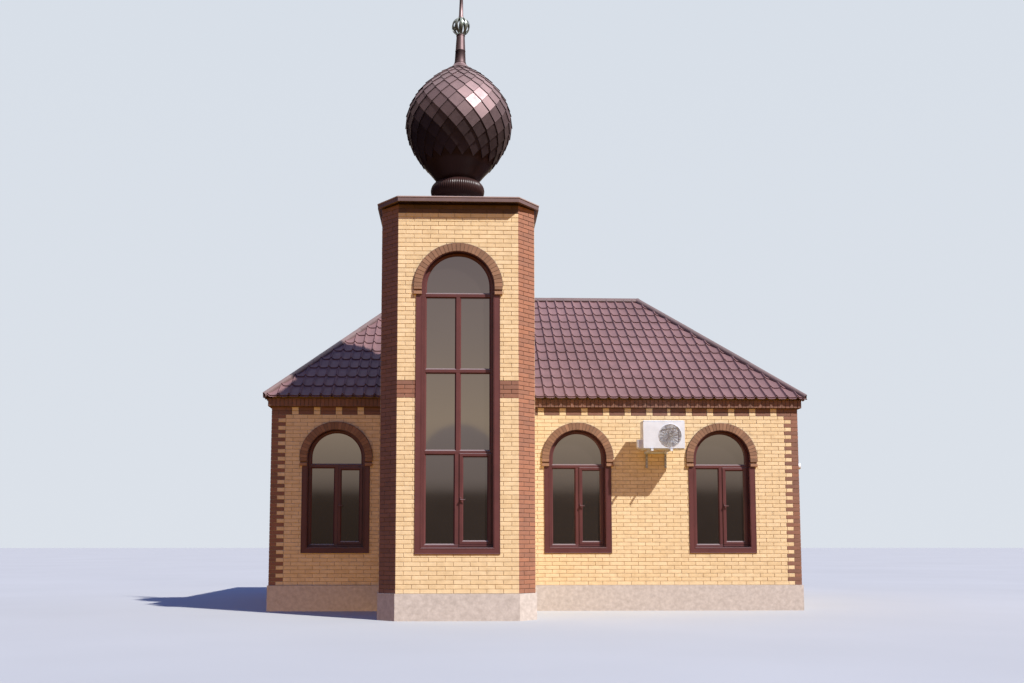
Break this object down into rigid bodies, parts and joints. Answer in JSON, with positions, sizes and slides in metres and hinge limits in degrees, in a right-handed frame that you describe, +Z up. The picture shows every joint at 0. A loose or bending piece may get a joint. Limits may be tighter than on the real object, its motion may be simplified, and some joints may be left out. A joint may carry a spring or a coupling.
{
  "type": "brick prayer hall with domed tower",
  "caption": "Single-storey straw brick hall with hipped metal tile roof, arched windows and a tall front tower topped by a scaled metal onion dome and spire.",
  "frame": {"origin": "middle of the footprint at ground level, on the underside of the hall's plinth", "axes": "+Z up, -Y towards the tower's front, +X to the right seen from the front"},
  "size_m": [9.8464, 12.355, 11.25],
  "materials": {
    "straw_brick": "matt facing brick with thin joints",
    "brown_brick": "matt facing brick with thin joints",
    "plinth": "rough render",
    "screed": "rough screed",
    "window_frame": "satin mahogany",
    "glass": "clear, slightly dark",
    "roof_metal": "satin brown coating",
    "dome_metal": "glossy brown coating",
    "finial_metal": "grey-green metal",
    "unit_casing": "white powder coat",
    "unit_dark": "grey grille"
  },
  "bodies": {
    "root": {"hall_plinth": "plinth", "tower_plinth": "plinth", "entrance_steps": "plinth", "floor_slab": "screed", "front_wall_left": "straw_brick", "front_wall_right": "straw_brick", "left_wall": "straw_brick", "right_wall": "straw_brick", "rear_wall": "straw_brick", "tower_front_wall": "straw_brick", "tower_left_wall": "straw_brick", "tower_right_wall": "straw_brick", "tower_rear_wall": "straw_brick", "cornice_front_left": "brown_brick", "cornice_front_right": "brown_brick", "front_arch_left": "brown_brick", "front_arch_middle": "brown_brick", "front_arch_right": "brown_brick", "tower_arch": "brown_brick", "front_window_left": "window_frame", "front_window_middle": "window_frame", "front_window_right": "window_frame", "tower_window": "window_frame", "left_window_front": "window_frame", "left_window_rear": "window_frame", "right_window_front": "window_frame", "right_window_rear": "window_frame", "rear_window_left": "window_frame", "rear_window_right": "window_frame", "entrance_frame": "window_frame", "entrance_door": "window_frame", "front_glass_left": "glass", "front_glass_middle": "glass", "front_glass_right": "glass", "tower_glass": "glass", "left_glass": "glass", "right_glass": "glass", "rear_glass": "glass", "roof_front": "roof_metal", "roof_rear": "roof_metal", "roof_left": "roof_metal", "roof_right": "roof_metal", "ridge_and_hip_caps": "roof_metal", "tower_cap": "roof_metal", "dome_ring": "dome_metal", "dome": "dome_metal", "spire": "dome_metal", "finial_ball": "finial_metal", "finial_spike": "dome_metal", "cooling_unit": "unit_casing", "cooling_unit_guard": "unit_dark", "cooling_unit_bracket": "unit_casing", "wall_lamp": "unit_casing"}
  },
  "joints": []
}
